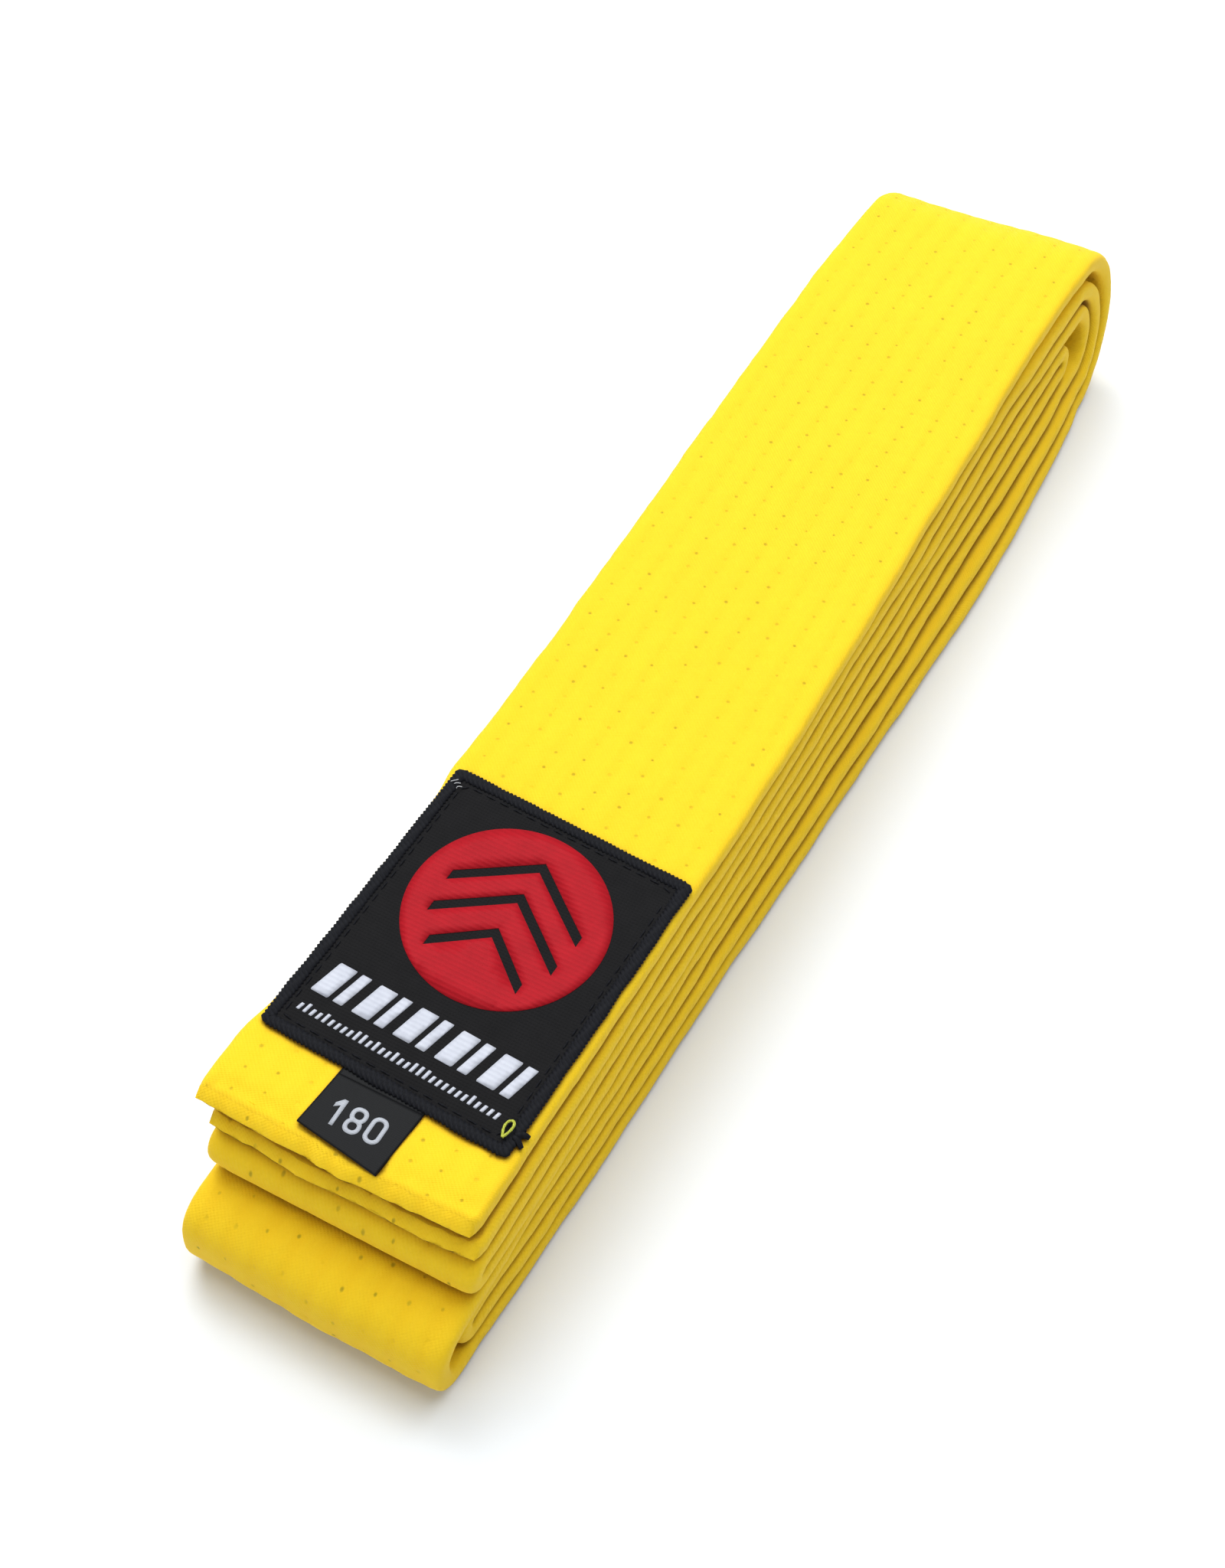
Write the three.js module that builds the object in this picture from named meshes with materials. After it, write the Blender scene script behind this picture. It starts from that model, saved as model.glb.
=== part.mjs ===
// A stitched cotton martial arts belt, folded in half three times into a flat pack of eight layers.
// Millimetres, +Z up. The pack lies on z = 0 with its length along Y: the four nested bends of the
// last fold are at +Y, and the two free ends and the label are at -Y, on top.
import * as THREE from 'three';

// The belt
const BELT_WIDTH = 41;
const BELT_THICKNESS = 3.5;
const LAYER_GAP = 0.3; // air between two layers, and between two pieces that meet end to end
const COVER_WALL = 0.75; // the cloth sleeve round the core
const EDGE_RADIUS = 1.4; // the rolled long edges
const CORE_GAP = 0.12;

// The pack
const PITCH = BELT_THICKNESS + LAYER_GAP;
const LAYERS = 8;
const PACK_TOP = LAYERS * PITCH - LAYER_GAP;
const FAR_Y = 101; // centre of the nested bends at the far end
const NEAR_Y = -108.6; // centre of the two lower bends at the near end
const UPPER_BEND_Y = -106; // centre of the bend under the free ends
const END_1_Y = -107.8; // the top layer's free end
const END_8_Y = -108.6; // the free end under it
const HEM_LENGTH = 3.2; // cloth turned in to close a free end

// Quilting
const ROWS = 9;
const ROW_SPACING = 4.3;
const GROOVE_WIDTH = 0.8;
const GROOVE_DEPTH = 0.35;
const THREAD = 0.3;

// Label
const LABEL_LEFT = -19;
const LABEL_WIDTH = 38.2;
const LABEL_LENGTH = 48;
const LABEL_NEAR_Y = END_1_Y + 12.6;
const LABEL_GROUND = 0.5;
const BINDING_WIDTH = 1.8;
const BINDING_HEIGHT = 1.05;
const EMBROIDERY = 0.22; // height of the woven marks above the ground
const LIFT = 0.05; // clearance under each piece of trim

// Size tag
const TAG_LEFT = -6.9;
const TAG_WIDTH = 12.9;
const TAG_LENGTH = 9.6;
const TAG_THICKNESS = 0.5;
const TAG_ROOT = 0.6;
const DIGIT_HEIGHT = 4.1;
const DIGIT_WIDTH = 2.4;
const DIGIT_STROKE = 0.6;

const cloth = (color, roughness = 0.9) =>
  new THREE.MeshStandardMaterial({ color, roughness, metalness: 0 });
const YELLOW = cloth(0xf7d823);
const SHADED_YELLOW = cloth(0xe6bd1c);
const CORE_WHITE = cloth(0xe9e2cf, 0.95);
const THREAD_YELLOW = cloth(0xe9c21a, 0.75);
const LABEL_BLACK = cloth(0x1a1c22, 0.85);
const BINDING_BLACK = cloth(0x121317, 0.7);
const RED = cloth(0xc3212f, 0.75);
const WHITE = cloth(0xe4e6ee, 0.75);
const TAG_BLACK = cloth(0x17181c, 0.45);
const TAG_GREY = cloth(0xcacccd, 0.7);
const LOOP_GREEN = cloth(0xd6d968, 0.7);

const belt = new THREE.Group();

function add(name, geometry, material) {
  const mesh = new THREE.Mesh(geometry, material);
  mesh.name = name;
  belt.add(mesh);
  return mesh;
}

// ---- Outlines -------------------------------------------------------------------------------

// A rectangle centred on the origin whose corners are rounded in three steps.
function roundedPoints(width, height, radius, steps = 3) {
  const points = [];
  const corners = [
    [1, 1, 0],
    [-1, 1, 90],
    [-1, -1, 180],
    [1, -1, 270],
  ];
  for (const [sx, sy, start] of corners) {
    for (let i = 0; i <= steps; i++) {
      const a = THREE.MathUtils.degToRad(start + (90 * i) / steps);
      points.push(
        new THREE.Vector2(
          sx * (width / 2 - radius) + radius * Math.cos(a),
          sy * (height / 2 - radius) + radius * Math.sin(a),
        ),
      );
    }
  }
  return points;
}

function rowPositions() {
  return Array.from({ length: ROWS }, (_, i) => (i - (ROWS - 1) / 2) * ROW_SPACING);
}

// The section across the belt's cover: a sleeve with a flat hollow for the core. The top layer's
// upper face has a shallow groove along each row of quilting.
function coverSection(grooved = false) {
  let points = roundedPoints(BELT_WIDTH, BELT_THICKNESS, EDGE_RADIUS);
  if (grooved) {
    const top = BELT_THICKNESS / 2;
    const grooves = rowPositions()
      .reverse()
      .flatMap((x) => [
        new THREE.Vector2(x + GROOVE_WIDTH / 2, top),
        new THREE.Vector2(x + GROOVE_WIDTH / 4, top - GROOVE_DEPTH),
        new THREE.Vector2(x - GROOVE_WIDTH / 4, top - GROOVE_DEPTH),
        new THREE.Vector2(x - GROOVE_WIDTH / 2, top),
      ]);
    points = [...points.slice(0, 4), ...grooves, ...points.slice(4)];
  }
  const shape = new THREE.Shape(points);
  const hollow = roundedPoints(
    BELT_WIDTH - 2 * COVER_WALL,
    BELT_THICKNESS - 2 * COVER_WALL,
    0.5,
    1,
  );
  shape.holes.push(new THREE.Path(hollow.reverse()));
  return shape;
}

function coreSection() {
  return new THREE.Shape(
    roundedPoints(
      BELT_WIDTH - 2 * (COVER_WALL + CORE_GAP),
      BELT_THICKNESS - 2 * (COVER_WALL + CORE_GAP),
      0.4,
      1,
    ),
  );
}

function rectangle(x0, y0, x1, y1) {
  return new THREE.Shape([
    new THREE.Vector2(x0, y0),
    new THREE.Vector2(x1, y0),
    new THREE.Vector2(x1, y1),
    new THREE.Vector2(x0, y1),
  ]);
}

// ---- Solids from outlines -------------------------------------------------------------------

function extrude(shape, depth, steps = 1, curveSegments = 6) {
  return new THREE.ExtrudeGeometry(shape, { depth, steps, curveSegments, bevelEnabled: false });
}

// A section standing in XZ, run along Y from y0 up to y1.
function straight(shape, y0, y1) {
  const geometry = extrude(shape, y1 - y0);
  geometry.rotateX(Math.PI / 2);
  geometry.translate(0, y1, 0);
  return geometry;
}

// A section standing in XZ, run round half a circle about X. side is +1 for a bend that bulges to
// +Y and -1 for one that bulges to -Y. It starts at the lower layer and ends at the upper one.
function halfTurn(shape, radius, side, steps) {
  const geometry = extrude(shape, 1, steps);
  const at = geometry.attributes.position;
  for (let i = 0; i < at.count; i++) {
    const angle = at.getZ(i) * Math.PI;
    const r = radius + at.getY(i);
    at.setXYZ(i, side * at.getX(i), side * r * Math.sin(angle), -r * Math.cos(angle));
  }
  geometry.computeVertexNormals();
  return geometry;
}

// A flat piece of trim: an outline in XY with its underside at z.
function flat(shape, z, thickness, curveSegments = 6) {
  const geometry = extrude(shape, thickness, 1, curveSegments);
  geometry.translate(0, 0, z);
  return geometry;
}

// ---- The strip: panels between bends --------------------------------------------------------

// Panels are numbered along the strip, from the labelled end. place is the layer's place in the
// pack, counted from the bottom.
const PANELS = [
  { panel: 1, place: 8, near: END_1_Y + HEM_LENGTH + LAYER_GAP, top: true },
  { panel: 2, place: 1, near: NEAR_Y },
  { panel: 3, place: 4, near: NEAR_Y },
  { panel: 4, place: 5, near: UPPER_BEND_Y },
  { panel: 5, place: 6, near: UPPER_BEND_Y },
  { panel: 6, place: 3, near: NEAR_Y },
  { panel: 7, place: 2, near: NEAR_Y },
  { panel: 8, place: 7, near: END_8_Y + HEM_LENGTH + LAYER_GAP },
];
const layerCentre = (place) => (place - 0.5) * PITCH - LAYER_GAP / 2;
const half = LAYER_GAP / 2;

for (const { panel, place, near, top } of PANELS) {
  const z = layerCentre(place);
  const y1 = FAR_Y - half;
  const y0 = near + half;
  const yellow = place > 4 ? YELLOW : SHADED_YELLOW;
  add(`cover_panel_${panel}`, straight(coverSection(top), y0, y1), yellow).position.z = z;
  add(`core_panel_${panel}`, straight(coreSection(), y0, y1), CORE_WHITE).position.z = z;
}

// Bends are named after the two panels they join. rank is the radius in half pitches.
const BENDS = [
  { name: '12', y: FAR_Y, side: 1, rank: 7, between: 4 },
  { name: '78', y: FAR_Y, side: 1, rank: 5, between: 4 },
  { name: '56', y: FAR_Y, side: 1, rank: 3, between: 4 },
  { name: '34', y: FAR_Y, side: 1, rank: 1, between: 4 },
  { name: '23', y: NEAR_Y, side: -1, rank: 3, between: 2 },
  { name: '67', y: NEAR_Y, side: -1, rank: 1, between: 2 },
  { name: '45', y: UPPER_BEND_Y, side: -1, rank: 1, between: 5 },
];

for (const { name, y, side, rank, between } of BENDS) {
  const radius = (rank * PITCH) / 2;
  const steps = 9 + rank;
  const z = between * PITCH - LAYER_GAP / 2;
  const cover = add(`cover_bend_${name}`, halfTurn(coverSection(), radius, side, steps), YELLOW);
  cover.position.set(0, y + side * half, z);
  const core = add(`core_bend_${name}`, halfTurn(coreSection(), radius, side, steps), CORE_WHITE);
  core.position.set(0, y + side * half, z);
}

// ---- Free ends: turned-in hems, each with one seam across it --------------------------------

const HEMS = [
  { panel: 1, place: 8, y: END_1_Y },
  { panel: 8, place: 7, y: END_8_Y },
];

for (const { panel, place, y } of HEMS) {
  const hem = new THREE.Shape(roundedPoints(BELT_WIDTH, BELT_THICKNESS, EDGE_RADIUS));
  const z = layerCentre(place);
  add(`end_hem_${panel}`, straight(hem, y, y + HEM_LENGTH), YELLOW).position.z = z;
  const seam = rectangle(-17.5, y + 0.7, 17.5, y + 0.7 + THREAD);
  add(`end_seam_${panel}`, flat(seam, z + BELT_THICKNESS / 2 + 0.04, 0.16), THREAD_YELLOW);
}

// ---- Quilting thread: one line along each groove of the top layer ---------------------------

rowPositions().forEach((x, i) => {
  const thread = new THREE.BoxGeometry(THREAD, FAR_Y - END_1_Y - HEM_LENGTH - 2, 0.2);
  const middle = (FAR_Y + END_1_Y + HEM_LENGTH) / 2;
  const floor = PACK_TOP - GROOVE_DEPTH + 0.03;
  add(`quilting_row_${i + 1}`, thread, THREAD_YELLOW).position.set(x, middle, floor + 0.1);
});

// ---- Label ----------------------------------------------------------------------------------

const labelX = LABEL_LEFT + LABEL_WIDTH / 2;
const labelY = LABEL_NEAR_Y + LABEL_LENGTH / 2;
const labelZ = PACK_TOP + LIFT;

function ring(width, length, band, radius) {
  const shape = new THREE.Shape(roundedPoints(width, length, radius, 2));
  const inner = roundedPoints(width - 2 * band, length - 2 * band, radius / 3, 1);
  shape.holes.push(new THREE.Path(inner.reverse()));
  return shape;
}

function addLabel(name, geometry, material, x = 0, y = 0) {
  add(name, geometry, material).position.set(labelX + x, labelY + y, labelZ);
}

const groundWidth = LABEL_WIDTH - 2 * BINDING_WIDTH - 0.1;
const groundLength = LABEL_LENGTH - 2 * BINDING_WIDTH - 0.1;
const ground = new THREE.Shape(roundedPoints(groundWidth, groundLength, 0.35, 1));
addLabel('label_ground', flat(ground, 0, LABEL_GROUND), LABEL_BLACK);

const binding = ring(LABEL_WIDTH, LABEL_LENGTH, BINDING_WIDTH, 0.9);
addLabel('label_binding', flat(binding, 0, BINDING_HEIGHT), BINDING_BLACK);

const seamRing = ring(groundWidth - 0.8, groundLength - 0.8, 0.3, 0.6);
addLabel('label_seam', flat(seamRing, LABEL_GROUND + LIFT, 0.15), BINDING_BLACK);

// A plain red disc with three open chevrons, above a row of five slanted blocks and a thin line.
function disc(radius) {
  const shape = new THREE.Shape();
  shape.absarc(0, 0, radius, 0, 2 * Math.PI, false);
  return shape;
}

function chevron(y, reach, rise, stroke) {
  const points = [
    [-reach, y],
    [0, y + rise],
    [reach, y],
    [reach, y + stroke],
    [0, y + rise + stroke],
    [-reach, y + stroke],
  ];
  return new THREE.Path(points.reverse().map(([px, py]) => new THREE.Vector2(px, py)));
}

const motif = disc(14.4);
motif.holes.push(chevron(-9.4, 7.3, 5.7, 1.7));
motif.holes.push(chevron(-4.6, 9.8, 7.3, 1.7));
motif.holes.push(chevron(0.9, 10.3, 7.5, 1.7));
addLabel('label_motif', flat(motif, LABEL_GROUND + LIFT, EMBROIDERY, 20), RED, 0, 6.3);

for (let i = 0; i < 5; i++) {
  const block = new THREE.Shape(
    [
      [-3.1, -2.7],
      [1.9, -2.7],
      [3.1, 2.7],
      [-1.9, 2.7],
    ].map(([px, py]) => new THREE.Vector2(px, py)),
  );
  const geometry = flat(block, LABEL_GROUND + LIFT, EMBROIDERY);
  addLabel(`label_block_${i + 1}`, geometry, WHITE, (i - 2) * 6.45, -13.9);
}

const line = rectangle(-15.8, -0.75, 15.8, 0.75);
addLabel('label_line', flat(line, LABEL_GROUND + LIFT, EMBROIDERY), WHITE, 0, -19.2);

// A loose loop of yellow thread lies on the label's near right corner.
const loop = new THREE.TorusGeometry(0.95, 0.2, 8, 20);
loop.scale(0.8, 1.5, 1);
const knot = add('thread_loop', loop, LOOP_GREEN);
knot.position.set(LABEL_LEFT + LABEL_WIDTH - 2.6, LABEL_NEAR_Y + 2.2, labelZ + BINDING_HEIGHT + 0.25);
knot.rotation.z = THREE.MathUtils.degToRad(-12);

// ---- Size tag: a folded ribbon that hinges where it leaves the label ------------------------

const tagX = TAG_LEFT + TAG_WIDTH / 2;
const rootY = LABEL_NEAR_Y - 0.1 - TAG_ROOT / 2;
const root = new THREE.BoxGeometry(TAG_WIDTH, TAG_ROOT, TAG_THICKNESS);
add('size_tag_root', root, TAG_BLACK).position.set(tagX, rootY, labelZ + TAG_THICKNESS / 2);

const tagY = rootY - TAG_ROOT / 2 - 0.3 - TAG_LENGTH / 2;
const tag = new THREE.BoxGeometry(TAG_WIDTH, TAG_LENGTH, TAG_THICKNESS);
add('size_tag', tag, TAG_BLACK).position.set(tagX, tagY, labelZ + TAG_THICKNESS / 2);

function digitOne() {
  const h = DIGIT_HEIGHT / 2;
  const s = DIGIT_STROKE;
  return new THREE.Shape(
    [
      [0.5, -h],
      [0.5, h],
      [0.5 - s, h],
      [-0.9, h - 0.9],
      [-0.9, h - 1.6],
      [0.5 - s, h - 1],
      [0.5 - s, -h],
    ].map(([px, py]) => new THREE.Vector2(px, py)),
  );
}

function digitZero() {
  const shape = new THREE.Shape(roundedPoints(DIGIT_WIDTH, DIGIT_HEIGHT, 1, 3));
  const w = DIGIT_WIDTH - 2 * DIGIT_STROKE;
  const l = DIGIT_HEIGHT - 2 * DIGIT_STROKE;
  shape.holes.push(new THREE.Path(roundedPoints(w, l, 0.4, 2).reverse()));
  return shape;
}

function digitEight() {
  const shape = new THREE.Shape(roundedPoints(DIGIT_WIDTH, DIGIT_HEIGHT, 1, 3));
  const w = DIGIT_WIDTH - 2 * DIGIT_STROKE;
  const l = (DIGIT_HEIGHT - 3 * DIGIT_STROKE) / 2;
  for (const side of [-1, 1]) {
    const hole = roundedPoints(w, l, 0.4, 2);
    const y = (side * (l + DIGIT_STROKE)) / 2;
    hole.forEach((p) => p.set(p.x, p.y + y));
    shape.holes.push(new THREE.Path(hole.reverse()));
  }
  return shape;
}

const digits = [
  ['tag_digit_1', digitOne(), -3],
  ['tag_digit_8', digitEight(), -0.2],
  ['tag_digit_0', digitZero(), 2.8],
];
for (const [name, shape, x] of digits) {
  const mesh = add(name, flat(shape, 0, 0.12), TAG_GREY);
  mesh.position.set(tagX + x, tagY - 0.1, labelZ + TAG_THICKNESS + LIFT);
}

export default belt;
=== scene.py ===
"""A folded cotton martial arts belt: the cloth, its stitching, the woven label and the size tag."""
import math

import bmesh
import bpy
import numpy as np
from mathutils import Matrix, Vector


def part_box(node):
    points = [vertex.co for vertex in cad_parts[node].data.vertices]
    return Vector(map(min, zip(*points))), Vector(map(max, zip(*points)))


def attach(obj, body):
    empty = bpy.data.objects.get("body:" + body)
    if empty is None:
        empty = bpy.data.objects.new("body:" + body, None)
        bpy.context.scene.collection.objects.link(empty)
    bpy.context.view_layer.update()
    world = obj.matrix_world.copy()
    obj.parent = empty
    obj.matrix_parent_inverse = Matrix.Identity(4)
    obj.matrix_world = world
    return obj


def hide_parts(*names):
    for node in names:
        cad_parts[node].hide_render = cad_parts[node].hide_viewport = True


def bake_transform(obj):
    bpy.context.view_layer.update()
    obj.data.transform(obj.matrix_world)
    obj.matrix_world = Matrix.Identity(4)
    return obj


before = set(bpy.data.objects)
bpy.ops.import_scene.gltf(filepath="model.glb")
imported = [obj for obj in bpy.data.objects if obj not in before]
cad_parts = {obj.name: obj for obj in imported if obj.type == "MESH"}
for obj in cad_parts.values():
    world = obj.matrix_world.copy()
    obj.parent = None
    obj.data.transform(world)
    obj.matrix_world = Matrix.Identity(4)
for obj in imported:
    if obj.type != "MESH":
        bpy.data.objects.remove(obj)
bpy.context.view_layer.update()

MM = 0.001
LOWER, UPPER, TAG = "lower_stack", "upper_stack", "size_tag"


# ---- Camera ----


SENSOR = 36  # mm
LONG_SIDE = 2048  # of the picture, px


def make_camera(azimuth, elevation, roll, distance, target, focal_px):
    """A camera at that bearing from target, in degrees and metres, its focal length in pixels."""
    a, e, r = (math.radians(x) for x in (azimuth, elevation, roll))
    back = Vector((math.sin(a) * math.cos(e), -math.cos(a) * math.cos(e), math.sin(e)))
    right = (-back).cross(Vector((0, 0, 1))).normalized()
    up = right.cross(-back)
    turned_right = right * math.cos(r) + up * math.sin(r)
    turned_up = up * math.cos(r) - right * math.sin(r)
    data = bpy.data.cameras.new("camera")
    data.sensor_width = SENSOR
    data.lens = focal_px * SENSOR / LONG_SIDE
    data.clip_start, data.clip_end = 0.01, 20
    cam = bpy.data.objects.new("camera", data)
    place = Vector(target) + back * distance
    axes = Matrix((turned_right, turned_up, back)).transposed().to_4x4()
    cam.matrix_world = Matrix.Translation(place) @ axes
    bpy.context.scene.collection.objects.link(cam)
    bpy.context.scene.camera = cam


make_camera(
    azimuth=26.47,
    elevation=52.37,
    roll=2.22,
    distance=0.3627,
    target=(-0.0087, -0.0161, 0),
    focal_px=2967,
)


# ---- Where the CAD puts things, in millimetres ----


def low(node, axis):
    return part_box(node)[0][axis] / MM


def high(node, axis):
    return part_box(node)[1][axis] / MM


def middle(node, axis):
    return (low(node, axis) + high(node, axis)) / 2


JOIN = 0.15  # half the gap between a CAD panel and the bend it meets
Z = {k: middle(f"cover_panel_{k}", 2) for k in range(1, 9)}
PITCH = (Z[1] - Z[2]) / 7
FAR_Y = high("cover_panel_1", 1) + JOIN
NEAR_Y = low("cover_panel_2", 1) - JOIN
UPPER_NEAR_Y = low("cover_panel_4", 1) - JOIN
END_Y = {1: low("end_hem_1", 1), 8: low("end_hem_8", 1)}
WIDTH = high("cover_panel_1", 0) - low("cover_panel_1", 0)
THICK = 3.62  # one layer of the strip

ROWS = 9  # needle rows along the strip
ROW_SPACING = 4.3
STITCH = 3.5  # from one needle hole to the next in a row


# ---- Small tools ----


def smooth(t):
    t = np.clip(t, 0, 1)
    return t * t * (3 - 2 * t)


def wander(seed, x, length, octaves=3):
    """Smooth noise along x, from about -1 to 1, whose longest wave is length."""
    rng = np.random.default_rng(seed)
    x = np.asarray(x, float)
    total, weight = np.zeros_like(x), 0.0
    for i in range(octaves):
        for _ in range(3):
            wave = length / (1.9**i) * rng.uniform(0.7, 1.3)
            total += np.sin(2 * np.pi * x / wave + rng.uniform(0, 2 * np.pi)) * 0.6**i
            weight += 0.6**i
    return total / weight * 1.8


def wander2(seed, x, y, length, octaves=3):
    """Smooth noise over a plane, from about -1 to 1."""
    rng = np.random.default_rng(seed)
    total, weight = np.zeros(np.broadcast(x, y).shape), 0.0
    for i in range(octaves):
        for _ in range(5):
            turn = rng.uniform(0, 2 * np.pi)
            wave = length / (2.0**i) * rng.uniform(0.7, 1.4)
            along = x * math.cos(turn) + y * math.sin(turn)
            total = total + np.sin(2 * np.pi * along / wave + rng.uniform(0, 6.28)) * 0.6**i
            weight += 0.6**i
    return total / weight * 2.2


def new_object(name, verts, faces, uvs=None, normals=None):
    """A mesh object from points in millimetres. uvs and normals are one per point."""
    mesh = bpy.data.meshes.new(name)
    points = np.asarray(verts, float) * MM
    mesh.from_pydata([tuple(p) for p in points], [], [tuple(f) for f in faces])
    mesh.update()
    mesh.polygons.foreach_set("use_smooth", [True] * len(mesh.polygons))
    corners = np.zeros(len(mesh.loops), np.int32)
    mesh.loops.foreach_get("vertex_index", corners)
    if uvs is not None:
        layer = mesh.uv_layers.new(name="strip")
        layer.data.foreach_set("uv", np.asarray(uvs, np.float32)[corners].ravel())
    if normals is not None:
        mesh.normals_split_custom_set_from_vertices([tuple(n) for n in normals])
    obj = bpy.data.objects.new(name, mesh)
    bpy.context.scene.collection.objects.link(obj)
    return obj


def grid_faces(rows, cols, closed=False, flip=False):
    """Quads over a grid of points. closed joins the last column to the first."""
    faces = []
    across = cols if closed else cols - 1
    for i in range(rows - 1):
        for j in range(across):
            a, b = i * cols + j, i * cols + (j + 1) % cols
            quad = (a, b, b + cols, a + cols)
            faces.append(quad[::-1] if flip else quad)
    return faces


LONGEST_EDGE = 2.5  # of a raised patch, before it is divided to follow the cloth
SHARP = 1.0  # radians: a patch's upper edges that turn more than this are rounded
ROUNDING = 0.06


def outline_solid(name, outline, holes, base, top, lift):
    """A raised patch: outline and holes in X and Y, sides from base to top, laid on lift(x, y)."""
    bm = bmesh.new()
    edges = []
    for loop in [outline, *holes]:
        vs = [bm.verts.new((x, y, 0)) for x, y in loop]
        edges += [bm.edges.new((vs[i], vs[(i + 1) % len(vs)])) for i in range(len(vs))]
    bmesh.ops.triangle_fill(bm, use_beauty=True, edges=edges, normal=(0, 0, 1))
    long_edges = [e for e in bm.edges if e.calc_length() > LONGEST_EDGE]
    bmesh.ops.subdivide_edges(bm, edges=long_edges, cuts=2, use_grid_fill=True)
    bmesh.ops.triangulate(bm, faces=bm.faces[:])
    sides = bmesh.ops.extrude_face_region(bm, geom=bm.faces[:])
    upper = {v for v in sides["geom"] if isinstance(v, bmesh.types.BMVert)}
    for v in bm.verts:
        v.co.z = lift(v.co.x, v.co.y) + (top if v in upper else base)
    bmesh.ops.recalc_face_normals(bm, faces=bm.faces[:])
    shared = [e for e in bm.edges if len(e.link_faces) == 2 and all(v in upper for v in e.verts)]
    rim = [e for e in shared if e.calc_face_angle() > SHARP]
    offset = min(ROUNDING, (top - base) * 0.4)
    bmesh.ops.bevel(bm, geom=rim, offset=offset, segments=2, affect="EDGES")
    for v in bm.verts:
        v.co *= MM
    mesh = bpy.data.meshes.new(name)
    bm.to_mesh(mesh)
    bm.free()
    mesh.polygons.foreach_set("use_smooth", [True] * len(mesh.polygons))
    obj = bpy.data.objects.new(name, mesh)
    bpy.context.scene.collection.objects.link(obj)
    return obj


def tube(name, path, radius, sides):
    """A round thread along path, in millimetres. radius is one number or one per point."""
    path = np.asarray(path, float)
    n = len(path)
    tangent = np.gradient(path, axis=0)
    tangent /= np.linalg.norm(tangent, axis=1)[:, None]
    side = np.cross(tangent, [0.03, 0.05, 1.0])
    side /= np.linalg.norm(side, axis=1)[:, None]
    up = np.cross(side, tangent)
    turn = np.linspace(0, 2 * np.pi, sides, endpoint=False)
    r = np.broadcast_to(np.asarray(radius, float), (n,))[:, None, None]
    ring = side[:, None] * np.cos(turn)[None, :, None] + up[:, None] * np.sin(turn)[None, :, None]
    verts = (path[:, None] + r * ring).reshape(-1, 3)
    faces = grid_faces(n, sides, closed=True)
    faces += [tuple(range(sides))[::-1], tuple(range((n - 1) * sides, n * sides))]
    return new_object(name, verts, faces)


def select(objects):
    """Select these, the first one active."""
    bpy.ops.object.select_all(action="DESELECT")
    for o in objects:
        o.select_set(True)
    bpy.context.view_layer.objects.active = objects[0]


# ---- Materials ----


def srgb(r, g, b):
    """A display colour, 0 to 255, as the linear colour that a shader takes."""

    def linear(c):
        c /= 255
        return c / 12.92 if c <= 0.04045 else ((c + 0.055) / 1.055) ** 2.4

    return (linear(r), linear(g), linear(b), 1.0)


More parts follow.
